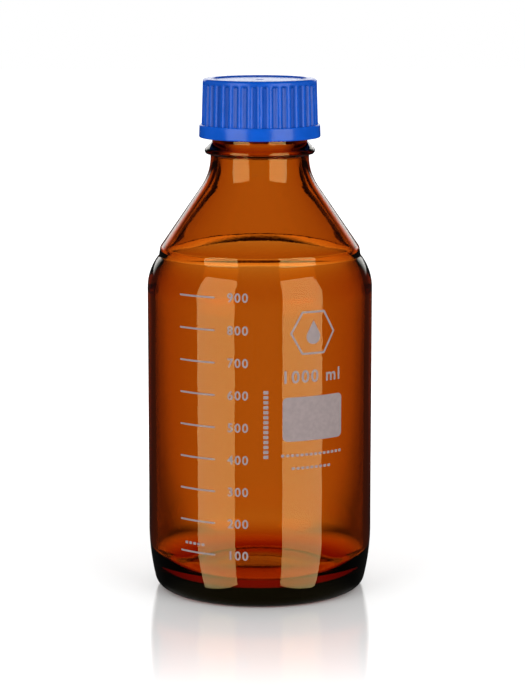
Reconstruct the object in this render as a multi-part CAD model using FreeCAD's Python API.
import FreeCAD, Part
import math
import os
from FreeCAD import Vector

# Amber 1000 ml laboratory reagent bottle with a GL 45 screw cap and a pouring ring.
# Millimetres, +Z up. The origin is the centre of the base, on the bench.
# Every piece is turned about the Z axis, so an outline is drawn as (radius, height).

os.makedirs("parts", exist_ok=True)

# ---- Glass bottle ----
body_radius = 50.5
body_wall = 3.3
glass_height = 225.0
heel_sweep_height = 28.0        # the barrel starts to draw in below this height
heel_sweep_radius = 104.0
heel_corner_radius = 5.5
contact_width = 1.2             # flat ring that the bottle stands on
punt_rise = 4.2                 # hollow under the base
base_thickness = 7.3
floor_dome_radius = 150.0
floor_corner_radius = 13.0
shoulder_radius = 22.8
shoulder_turn = 39.5            # degrees that the outer shoulder turns before the ledge
ledge_height = 3.8
ledge_inset = 0.6
cone_angle = 34.4               # degrees between the sloping shoulder and the axis
cone_wall = 3.1
inner_shoulder_radius = 44.0
neck_step = 0.75                # how far the plain neck stands outside the thread's core
neck_blend_radius = 23.7
bore_radius = 17.0
bore_depth = 9.0                # the narrow bore ends this far below the lip
bore_taper = 10.0               # and opens into the neck over this height
neck_bore_step = 1.7
bore_blend_radius = 27.0
bead_below_lip = 26.6           # height of the neck bead's crest below the lip
bead_stand = 2.62               # out of the plain neck
bead_round = 1.6
bead_lower_reach = 2.7          # from the bead's crest down to the plain neck
bead_upper_reach = 3.7          # and up to the threaded part
bead_lower_turn = 55.0          # degrees that the bead's round turns each side of its crest
bead_upper_turn = 60.0

# ---- GL 45 neck finish: a round thread of 45 mm nominal diameter ----
finish_wall = 4.25              # glass between the bore and the thread's core
thread_pitch = 4.0
thread_height = 1.15
thread_half_width = 1.1
thread_root_sink = 0.4          # the ridge is sunk this far into the wall that carries it
thread_above_bead = 8.2         # where the ridge starts
thread_top_margin = 2.4         # from where it ends to the top of the core
thread_ramp = 6.0               # the ridge fades in and out over this length
thread_clearance = 0.35
core_top_below_lip = 5.0
lip_step = 1.45                 # how far the lip is inside the thread's core
lip_round = 0.8
snap_bead_below_lip = 1.8
snap_bead_radius = 0.5
snap_bead_sink = 0.05           # its centre lies this far inside the lip's face

# ---- Pouring ring ----
running_gap = 0.08
snap_gap = 0.1
spigot_wall = 1.3
spigot_depth = 5.5
ring_flange = 1.2
ring_skirt_wall = 1.3
ring_skirt_depth = 3.6
pour_edge_height = 1.5
pour_edge_width = 0.4
pour_edge_lean = 1.2

# ---- Screw cap ----
cap_top_thickness = 2.4
cap_headroom = 1.8              # from the ring's flange to the cap's ceiling
cap_above_bead = 5.9            # from the bead's crest to the cap's foot
cap_wall = 2.2                  # outside the bottom of the thread groove
flange_stand = 2.15             # out of the grip wall
flange_height = 5.8
flange_round = 0.6
flange_draft = 0.15
lead_in_depth = 1.85            # outside the bottom of the thread groove
lead_in_height = 3.3
rib_count = 36
rib_radius = 1.75
rib_stand = 1.0                 # how far a rib stands out of the grip wall
grip_draft = 1.7                # degrees
rim_height = 3.1
rim_round = 1.4
rim_stand = 0.95
seam_angle = 75.0
rim_land = 2.6                  # flat top between the rim's round and the recess
recess_depth = 0.6
recess_slope = 0.5
seal_inset = 2.38               # from the ring's bore to the sealing lip
seal_width = 1.0
cap_thread_runout = 0.15        # turns that the cap's groove runs on above the neck's thread

# ---- Fired enamel print ----
enamel_thickness = 0.1
mark_limit = 9                  # the scale stops here even if more marks would fit
mark_volume = 100000.0          # mm3 between two marks, 100 ml
mark_thickness = 0.8
mark_from_angle = -43.5
mark_to_angle = -22.8
numeral_angle = -11.0
numeral_height = 3.9
numeral_width = 2.2
numeral_step = 4.1
numeral_stroke = 0.6
capacity_angle = 28.0
capacity_below_shoulder = 33.1
capacity_digit_height = 5.0
capacity_digit_width = 3.0
capacity_digit_step = 5.2
capacity_stroke = 0.8
field_from_angle = 11.3
field_to_angle = 45.0
field_below_shoulder = 41.7
field_height = 19.6
field_corner = 2.2
emblem_angle = 27.5
emblem_below_shoulder = 13.7
emblem_radius = 11.0
emblem_line = 0.9
drop_radius = 3.4
drop_tip = 7.2
fine_line_height = 1.2
fine_dash = 1.5
fine_gap = 0.7
fine_above_first_mark = 3.9
fine_below_field = 6.2
fine_row_gap = 5.8
side_line_angle = 3.0
side_line_overlap = (7.3, 5.3)  # how far it runs below and above the marking field
side_line_width = 2.2
skin_least_turn = 0.5           # degrees of the heel that can always be printed on
skin_shoulder_turn = 14.0


def save(shape, node):
    """Write one piece to its own file and say what it is."""
    shape.exportStep("parts/" + node + ".step")
    solids = len(shape.Solids)
    print(node, "solids", solids, "volume", round(shape.Volume, 2), "valid", shape.isValid())


# ================= outlines =================

def at(radius, height):
    return Vector(radius, 0, height)


def on_circle(centre, radius, degrees):
    """A point on a circle in the outline, at an angle from straight out."""
    turn = math.radians(degrees)
    return (centre[0] + radius * math.cos(turn), centre[1] + radius * math.sin(turn))


class Outline:
    """A closed outline of lines and arcs, which is turned about Z into a solid."""

    def __init__(self, start):
        self.start = start
        self.last = start
        self.edges = []

    def line(self, point):
        if math.dist(self.last, point) > 1e-6:
            self.edges.append(Part.LineSegment(at(*self.last), at(*point)).toShape())
            self.last = point
        return self

    def arc(self, centre, radius, from_degrees, to_degrees):
        """A line to the arc's first end, then the arc."""
        self.line(on_circle(centre, radius, from_degrees))
        middle = on_circle(centre, radius, (from_degrees + to_degrees) / 2)
        end = on_circle(centre, radius, to_degrees)
        self.edges.append(Part.Arc(at(*self.last), at(*middle), at(*end)).toShape())
        self.last = end
        return self

    def turned(self):
        self.line(self.start)
        solid = Part.Face(Part.Wire(self.edges)).revolve(Vector(0, 0, 0), Vector(0, 0, 1), 360)
        # The seam lies in a valley of the cap's grip, away from where the threads start.
        solid.rotate(Vector(0, 0, 0), Vector(0, 0, 1), seam_angle)
        return solid


# ================= glass bottle =================

lip_z = glass_height
thread_core_radius = bore_radius + finish_wall
neck_radius = thread_core_radius + neck_step
bead_crest_radius = neck_radius + bead_stand
lip_radius = thread_core_radius - lip_step
cone_run = math.tan(math.radians(cone_angle))
bead_z = lip_z - bead_below_lip
neck_blend_z = bead_z - bead_lower_reach
neck_blend_centre = (neck_radius + neck_blend_radius, neck_blend_z)
cone_top = on_circle(neck_blend_centre, neck_blend_radius, 180 + cone_angle)
shoulder_end_radius = body_radius - shoulder_radius * (1 - math.cos(math.radians(shoulder_turn)))
ledge_radius = shoulder_end_radius - ledge_inset
ledge_top_z = cone_top[1] - (ledge_radius - cone_top[0]) / cone_run
shoulder_end_z = ledge_top_z - ledge_height
shoulder_z = shoulder_end_z - shoulder_radius * math.sin(math.radians(shoulder_turn))

heel_centre = (body_radius - heel_sweep_radius, heel_sweep_height)
corner_reach = heel_sweep_radius - heel_corner_radius
corner_drop = heel_sweep_height - heel_corner_radius
contact_radius = heel_centre[0] + math.sqrt(corner_reach ** 2 - corner_drop ** 2)
heel_corner_centre = (contact_radius, heel_corner_radius)
heel_turn = math.degrees(math.asin(corner_drop / corner_reach))
punt_radius = contact_radius - contact_width

cavity_radius = body_radius - body_wall
floor_top_z = punt_rise + base_thickness
floor_corner_r = cavity_radius - floor_corner_radius
dome_centre_z = floor_top_z - floor_dome_radius
floor_reach = floor_dome_radius + floor_corner_radius
floor_corner_z = dome_centre_z + math.sqrt(floor_reach ** 2 - floor_corner_r ** 2)
floor_tilt = math.degrees(math.asin(floor_corner_r / floor_reach))


def cavity_cone_radius(height):
    """Radius of the sloping inner shoulder, a cone_wall inside the outer one."""
    slope = math.radians(cone_angle)
    foot_radius = cone_top[0] - cone_wall * math.cos(slope)
    foot_z = cone_top[1] - cone_wall * math.sin(slope)
    return foot_radius + (foot_z - height) * cone_run


def cone_height_at(radius):
    """Height at which the sloping inner shoulder has this radius."""
    return (cavity_cone_radius(0) - radius) / cone_run


def tangent_to_cone(start_radius, arc_radius, side):
    """Height of the centre of an arc that leaves a vertical wall and meets the cone."""
    slope = math.radians(cone_angle)
    end_radius = start_radius + side * arc_radius * (1 - math.cos(slope))
    return cone_height_at(end_radius) + side * arc_radius * math.sin(slope)


neck_bore_radius = bore_radius + neck_bore_step
bore_blend_z = tangent_to_cone(neck_bore_radius, bore_blend_radius, 1)
inner_shoulder_z = tangent_to_cone(cavity_radius, inner_shoulder_radius, -1)
core_top_z = lip_z - core_top_below_lip
snap_bead_centre = (lip_radius - snap_bead_sink, lip_z - snap_bead_below_lip)


def cavity_outline(outline):
    """The inside of the bottle, from the lip down to the middle of the floor."""
    outline.arc((bore_radius + lip_round, lip_z - lip_round), lip_round, 90, 180)
    outline.line((bore_radius, lip_z - bore_depth))
    outline.line((neck_bore_radius, lip_z - bore_depth - bore_taper))
    outline.arc((neck_bore_radius + bore_blend_radius, bore_blend_z), bore_blend_radius,
                180, 180 + cone_angle)
    outline.arc((cavity_radius - inner_shoulder_radius, inner_shoulder_z),
                inner_shoulder_radius, cone_angle, 0)
    outline.arc((floor_corner_r, floor_corner_z), floor_corner_radius, 0, -90 - floor_tilt)
    outline.arc((0, dome_centre_z), floor_dome_radius, 90 - floor_tilt, 90)
    return outline


def glass_blank():
    """The bottle without its thread: the outside up to the lip, then the inside."""
    punt_dome = (punt_radius ** 2 + punt_rise ** 2) / (2 * punt_rise)
    punt_span = math.degrees(math.asin(punt_radius / punt_dome))
    outline = Outline((0, punt_rise))
    outline.arc((0, punt_rise - punt_dome), punt_dome, 90, 90 - punt_span)
    outline.line((contact_radius, 0))
    outline.arc(heel_corner_centre, heel_corner_radius, -90, -heel_turn)
    outline.arc(heel_centre, heel_sweep_radius, -heel_turn, 0)
    outline.arc((body_radius - shoulder_radius, shoulder_z), shoulder_radius,
                0, shoulder_turn)
    outline.line((ledge_radius, ledge_top_z))
    outline.arc(neck_blend_centre, neck_blend_radius, 180 + cone_angle, 180)
    outline.arc((bead_crest_radius - bead_round, bead_z), bead_round,
                -bead_lower_turn, bead_upper_turn)
    outline.line((thread_core_radius, bead_z + bead_upper_reach))
    outline.line((thread_core_radius, core_top_z - lip_round))
    outline.line((lip_radius, core_top_z + lip_round))
    bead_turn = math.degrees(math.acos(snap_bead_sink / snap_bead_radius))
    outline.arc(snap_bead_centre, snap_bead_radius, -bead_turn, bead_turn)
    outline.arc((lip_radius - lip_round, lip_z - lip_round), lip_round, 0, 90)
    cavity_outline(outline)
    return outline.turned()


def cavity_solid():
    """What fills the bottle up to the lip, for measuring how much it holds."""
    outline = Outline((0, lip_z))
    cavity_outline(outline)
    return outline.turned()


def thread_ridge(half_width, height, start_z, turns):
    """A round helical ridge on the neck's core, which fades in and out at its ends."""
    root = thread_core_radius - thread_root_sink
    crest = thread_core_radius + height
    low = Vector(root, 0, -half_width)
    high = Vector(root, 0, half_width)
    foot = Vector(thread_core_radius, 0, -half_width)
    head = Vector(thread_core_radius, 0, half_width)
    profile = Part.Wire([
        Part.LineSegment(high, low).toShape(),
        Part.LineSegment(low, foot).toShape(),
        Part.Arc(foot, Vector(crest, 0, 0), head).toShape(),
        Part.LineSegment(head, high).toShape(),
    ])
    helix = Part.makeHelix(thread_pitch, thread_pitch * turns, thread_core_radius)
    ridge = Part.Wire(helix).makePipeShell([profile], True, True)
    near = thread_core_radius - thread_root_sink / 4
    far = crest + height
    reach = thread_ramp * (far - near) / (crest - near)
    for angle, end_z, way in ((0, 0, 1), (360 * turns, thread_pitch * turns, -1)):
        corners = [Vector(near, -way, 0), Vector(near, 0, 0), Vector(far, way * reach, 0),
                   Vector(far, -way, 0)]
        ramp = Part.Face(Part.makePolygon(corners + corners[:1]))
        ramp.translate(Vector(0, 0, -thread_pitch / 2))
        wedge = ramp.extrude(Vector(0, 0, thread_pitch))
        wedge.rotate(Vector(0, 0, 0), Vector(0, 0, 1), angle)
        wedge.translate(Vector(0, 0, end_z))
        ridge = ridge.cut(wedge)
    ridge.translate(Vector(0, 0, start_z))
    return ridge


thread_start_z = bead_z + thread_above_bead
thread_turns = (core_top_z - thread_top_margin - thread_start_z) / thread_pitch


def bottle_glass():
    ridge = thread_ridge(thread_half_width, thread_height, thread_start_z, thread_turns)
    return glass_blank().fuse(ridge)


# ================= pouring ring =================

ring_top_z = lip_z + ring_flange
ring_bore_radius = bore_radius - running_gap - spigot_wall
skirt_inner_radius = lip_radius + running_gap
skirt_outer_radius = skirt_inner_radius + ring_skirt_wall


def pouring_ring():
    spigot_outer = bore_radius - running_gap
    spigot_foot_z = lip_z - spigot_depth
    skirt_foot_z = lip_z - ring_skirt_depth
    groove_reach = (snap_bead_sink + running_gap) / (snap_bead_radius + snap_gap)
    groove_turn = math.degrees(math.acos(groove_reach))
    outline = Outline((ring_bore_radius, ring_top_z))
    outline.line((ring_bore_radius, spigot_foot_z))
    outline.line((spigot_outer - spigot_wall / 2, spigot_foot_z))
    outline.line((spigot_outer, spigot_foot_z + spigot_wall / 2))
    outline.line((spigot_outer, lip_z))
    outline.line((skirt_inner_radius, lip_z))
    outline.arc(snap_bead_centre, snap_bead_radius + snap_gap, groove_turn, -groove_turn)
    outline.line((skirt_inner_radius, skirt_foot_z))
    outline.line((skirt_outer_radius, skirt_foot_z))
    outline.line((skirt_outer_radius, ring_top_z))
    edge_top_z = ring_top_z + pour_edge_height
    outline.line((skirt_outer_radius - pour_edge_width / 2, edge_top_z))
    outline.line((skirt_outer_radius - 1.5 * pour_edge_width, edge_top_z))
    outline.line((skirt_outer_radius - pour_edge_width - pour_edge_lean, ring_top_z))
    return outline.turned()


# ================= screw cap =================

cap_ceiling_z = ring_top_z + cap_headroom
cap_top_z = cap_ceiling_z + cap_top_thickness
cap_foot_z = bead_z + cap_above_bead
cap_bore_radius = thread_core_radius + thread_clearance
cap_groove_radius = cap_bore_radius + thread_height
grip_radius = cap_groove_radius + cap_wall
flange_radius = grip_radius + flange_stand
lead_in_radius = cap_groove_radius + lead_in_depth
seal_radius = ring_bore_radius + seal_inset
flange_top_z = cap_foot_z + flange_height
rim_z = cap_top_z - rim_height
grip_lean = math.tan(math.radians(grip_draft))
rim_radius = grip_radius - (rim_z - flange_top_z) * grip_lean + rim_stand
recess_radius = rim_radius - rim_round - rim_land


def cap_shell():
    outline = Outline((lead_in_radius, cap_foot_z))
    outline.arc((flange_radius - flange_round, cap_foot_z + flange_round), flange_round, -90, 0)
    outline.arc((flange_radius - flange_draft - flange_round, flange_top_z - flange_round),
                flange_round, 0, 90)
    outline.line((grip_radius, flange_top_z))
    outline.line((grip_radius - (rim_z - flange_top_z) * grip_lean, rim_z))
    outline.line((rim_radius, rim_z + rim_stand))
    outline.arc((rim_radius - rim_round, cap_top_z - rim_round), rim_round, 0, 90)
    outline.line((recess_radius, cap_top_z))
    outline.line((recess_radius - recess_slope, cap_top_z - recess_depth))
    outline.line((0, cap_top_z - recess_depth))
    outline.line((0, cap_ceiling_z))
    outline.line((seal_radius, cap_ceiling_z))
    outline.line((seal_radius, ring_top_z))
    outline.line((seal_radius + seal_width, ring_top_z))
    outline.line((seal_radius + seal_width, cap_ceiling_z))
    outline.line((cap_bore_radius, cap_ceiling_z))
    lead_in_z = cap_foot_z + lead_in_height
    outline.line((cap_bore_radius, lead_in_z + lead_in_radius - cap_bore_radius))
    outline.line((lead_in_radius, lead_in_z))
    return outline.turned()


def grip_ribs():
    """Round ribs, a shade steeper than upright, from the flange up into the rim."""
    foot_z = flange_top_z - flange_round
    length = rim_z + rim_stand - foot_z
    rib = Part.makeCylinder(rib_radius, length)
    rib.rotate(Vector(0, 0, 0), Vector(0, 1, 0), -grip_draft)
    rib.translate(Vector(grip_radius + rib_stand - rib_radius, 0, foot_z))
    # Each rib starts in the middle of the wall, so none shows inside the cap.
    inside = Part.makeCylinder(cap_groove_radius + cap_wall / 2, length + 2 * rib_radius,
                               Vector(0, 0, foot_z - rib_radius))
    rib = rib.cut(inside)
    ribs = []
    for index in range(rib_count):
        copy = rib.copy()
        copy.rotate(Vector(0, 0, 0), Vector(0, 0, 1), 360 * index / rib_count)
        ribs.append(copy)
    return ribs


def tube(inner_radius, outer_radius, low, high):
    foot = Vector(0, 0, low)
    outer = Part.makeCylinder(outer_radius, high - low, foot)
    return outer.cut(Part.makeCylinder(inner_radius, high - low, foot))


def screw_cap():
    """The shell and its ribs round a threaded sleeve, which is the shell's inner wall.

    The neck's thread, a clearance larger, is cut from a sleeve that overruns it at both ends.
    The sleeve is then trimmed to the shell, as a helical cut through an end face can miss.
    """
    turns_below = math.ceil((thread_start_z - cap_foot_z) / thread_pitch) + 1
    turns = turns_below + thread_turns + cap_thread_runout
    start_z = thread_start_z - turns_below * thread_pitch
    groove = thread_ridge(thread_half_width + thread_clearance, thread_height + thread_clearance,
                          start_z, turns)
    sleeve_radius = cap_groove_radius + cap_wall / 2
    sleeve = tube(cap_bore_radius, sleeve_radius, start_z - thread_pitch,
                  cap_ceiling_z + thread_pitch)
    shell = cap_shell()
    inner_wall = tube(seal_radius + 1.5 * seal_width, sleeve_radius, cap_foot_z, cap_ceiling_z)
    threaded = sleeve.cut(groove).common(shell.common(inner_wall))
    return shell.cut(inner_wall).fuse(threaded).fuse(grip_ribs())


# ================= enamel print =================

shoulder_centre = (body_radius - shoulder_radius, shoulder_z)


def fill_height(volume):
    """Height at which the bottle holds this volume."""
    cavity = cavity_solid()
    low, high = 0.0, lip_z
    for _ in range(14):
        middle = (low + high) / 2
        held = cavity.common(Part.makeCylinder(body_radius, middle)).Volume
        if held < volume:
            low = middle
        else:
            high = middle
    return (low + high) / 2


# The print starts one numeral below the first mark, as far round the heel as that takes.
first_mark_z = fill_height(mark_volume)
mark_step = mark_volume / (math.pi * cavity_radius ** 2)
skin_drop = heel_sweep_height - (first_mark_z - numeral_height)
skin_heel_turn = max(skin_least_turn, math.degrees(math.asin(skin_drop / heel_sweep_radius)))


def enamel_skin():
    """A thin layer over the barrel and the start of the shoulder: all print is cut from it."""
    outline = Outline(on_circle(heel_centre, heel_sweep_radius, -skin_heel_turn))
    outline.arc(heel_centre, heel_sweep_radius, -skin_heel_turn, 0)
    outline.arc(shoulder_centre, shoulder_radius, 0, skin_shoulder_turn)
    outline.arc(shoulder_centre, shoulder_radius + enamel_thickness, skin_shoulder_turn, 0)
    outline.arc(heel_centre, heel_sweep_radius + enamel_thickness, 0, -skin_heel_turn)
    return outline.turned()


skin = enamel_skin()


def sector(from_angle, to_angle, low, high):
    """A strip of print between two angles and two heights."""
    corners = []
    for radius, angle in ((0.8, from_angle), (1.2, from_angle), (1.2, to_angle), (0.8, to_angle)):
        turn = math.radians(angle)
        corners.append(Vector(radius * body_radius * math.sin(turn),
                              -radius * body_radius * math.cos(turn), low))
    face = Part.Face(Part.makePolygon(corners + corners[:1]))
    return skin.common(face.extrude(Vector(0, 0, high - low)))


def stamp(faces, angle):
    """Print flat shapes, drawn across X and up Z, onto the barrel at an angle."""
    prisms = []
    for face in faces:
        prism = face.extrude(Vector(0, -0.7 * body_radius, 0))
        prism.translate(Vector(0, -0.5 * body_radius, 0))
        prisms.append(prism)
    whole = prisms[0]
    if len(prisms) > 1:
        whole = prisms[0].fuse(prisms[1:]).removeSplitter()
    whole.rotate(Vector(0, 0, 0), Vector(0, 0, 1), angle)
    return skin.common(whole)


def box_face(left, right, low, high):
    corners = [Vector(left, 0, low), Vector(right, 0, low), Vector(right, 0, high),
               Vector(left, 0, high)]
    return Part.Face(Part.makePolygon(corners + corners[:1]))


# The strokes of each figure: a top, b and c right, d foot, e and f left, g middle.
FIGURES = {"0": "abcdef", "1": "bc", "2": "abged", "3": "abgcd", "4": "fgbc",
           "5": "afgcd", "6": "afgedc", "7": "abc", "8": "abcdefg", "9": "abcdfg"}


def figure(character, left, low, width, height, stroke):
    right = left + width
    top = low + height
    middle = (low + top) / 2
    half = stroke / 2
    strokes = {
        "a": (left, right, top - stroke, top),
        "b": (right - stroke, right, middle - half, top),
        "c": (right - stroke, right, low, middle + half),
        "d": (left, right, low, low + stroke),
        "e": (left, left + stroke, low, middle + half),
        "f": (left, left + stroke, middle - half, top),
        "g": (left, right, middle - half, middle + half),
    }
    return [box_face(*strokes[name]) for name in FIGURES[character]]


skin_top_z = shoulder_z + shoulder_radius * math.sin(math.radians(skin_shoulder_turn))
scale_room = skin_top_z - numeral_height / 2 - first_mark_z
mark_count = min(mark_limit, int(scale_room / mark_step) + 1)
capacity_height = shoulder_z - capacity_below_shoulder
field_high = shoulder_z - field_below_shoulder
field_low = field_high - field_height
emblem_centre = shoulder_z - emblem_below_shoulder
fine_rows = (
    (-40.5, -27.5, first_mark_z + fine_above_first_mark),
    (10.6, 45.0, field_low - fine_below_field),
    (16.0, 38.0, field_low - fine_below_field - fine_row_gap),
)
side_line_low = field_low - side_line_overlap[0]
side_line_high = field_high + side_line_overlap[1]
print("marks", mark_count, "first", round(first_mark_z, 2), "step", round(mark_step, 3))
print("cap height", round(cap_top_z - cap_foot_z, 2), "shoulder", round(shoulder_z, 2))


def scale_marks():
    marks = []
    for index in range(mark_count):
        low = first_mark_z + index * mark_step - mark_thickness / 2
        marks.append(sector(mark_from_angle, mark_to_angle, low, low + mark_thickness))
    return Part.makeCompound(marks)


def scale_numerals():
    numbers = []
    for index in range(mark_count):
        low = first_mark_z + index * mark_step - numeral_height / 2
        faces = []
        for place, character in enumerate(str(100 * (index + 1))):
            left = (place - 1) * numeral_step - numeral_width / 2
            faces += figure(character, left, low, numeral_width, numeral_height, numeral_stroke)
        numbers.append(stamp(faces, numeral_angle))
    return Part.makeCompound(numbers)


def capacity_mark():
    """The rated volume: the figures 1000 and the unit ml."""
    low = capacity_height - capacity_digit_height / 2
    left = -3.3 * capacity_digit_step
    faces = []
    for character in "1000":
        faces += figure(character, left, low, capacity_digit_width, capacity_digit_height,
                        capacity_stroke)
        left += capacity_digit_step
    left += capacity_digit_step / 2
    small = capacity_digit_height * 0.7
    right = left + 1.5 * capacity_digit_width
    faces.append(box_face(left, right, low + small - capacity_stroke, low + small))
    for leg in (left, (left + right - capacity_stroke) / 2, right - capacity_stroke):
        faces.append(box_face(leg, leg + capacity_stroke, low, low + small))
    stem = right + capacity_digit_width / 2
    faces.append(box_face(stem, stem + capacity_stroke, low, low + capacity_digit_height))
    return stamp(faces, capacity_angle)


def marking_field():
    """The plain matt panel that takes pencil."""
    middle = (field_from_angle + field_to_angle) / 2
    half = body_radius * math.sin(math.radians((field_to_angle - field_from_angle) / 2))
    block = Part.makeBox(2 * half, 0.7 * body_radius, field_high - field_low,
                         Vector(-half, -1.2 * body_radius, field_low))
    upright = [edge for edge in block.Edges
               if abs(edge.Vertexes[0].Y - edge.Vertexes[-1].Y) > body_radius / 2]
    block = block.makeFillet(field_corner, upright)
    block.rotate(Vector(0, 0, 0), Vector(0, 0, 1), middle)
    return skin.common(block)


def hexagon(radius):
    corners = []
    for index in range(6):
        x, z = on_circle((0, emblem_centre), radius, 60 * index)
        corners.append(Vector(x, 0, z))
    return Part.Face(Part.makePolygon(corners + corners[:1]))


def drop():
    """A plain drop: a round foot and two straight sides to a tip."""
    lean = math.degrees(math.acos(drop_radius / drop_tip))
    centre = (0, emblem_centre - drop_radius / 2)
    right = on_circle(centre, drop_radius, 90 - lean)
    foot = on_circle(centre, drop_radius, -90)
    left = on_circle(centre, drop_radius, 90 + lean)
    tip = Vector(0, 0, centre[1] + drop_tip)
    start = Vector(left[0], 0, left[1])
    end = Vector(right[0], 0, right[1])
    round_foot = Part.Arc(start, Vector(foot[0], 0, foot[1]), end).toShape()
    sides = [Part.LineSegment(end, tip).toShape(), Part.LineSegment(tip, start).toShape()]
    return Part.Face(Part.Wire([round_foot] + sides))


def emblem():
    """A plain drop in a hexagon."""
    frame = hexagon(emblem_radius).cut(hexagon(emblem_radius - emblem_line))
    return Part.makeCompound([stamp([frame], emblem_angle), stamp([drop()], emblem_angle)])


def dashed_lines():
    """Rows of short dashes, plain bars that say nothing, and one upright row."""
    dashes = []
    dash_turn = math.degrees(fine_dash / body_radius)
    gap_turn = math.degrees(fine_gap / body_radius)
    for from_angle, to_angle, height in fine_rows:
        low = height - fine_line_height / 2
        angle = from_angle
        while angle + dash_turn <= to_angle:
            dashes.append(sector(angle, angle + dash_turn, low, low + fine_line_height))
            angle += dash_turn + gap_turn
    half_turn = math.degrees(side_line_width / body_radius) / 2
    height = side_line_low
    while height + fine_dash <= side_line_high:
        dashes.append(sector(side_line_angle - half_turn, side_line_angle + half_turn,
                             height, height + fine_dash))
        height += fine_dash + fine_gap
    return Part.makeCompound(dashes)


# ================= the pieces =================

save(bottle_glass(), "bottle_glass")
save(pouring_ring(), "pouring_ring")
save(screw_cap(), "screw_cap")
save(scale_marks(), "scale_marks")
save(scale_numerals(), "scale_numerals")
save(capacity_mark(), "capacity_mark")
save(marking_field(), "marking_field")
save(emblem(), "emblem")
save(dashed_lines(), "dashed_lines")
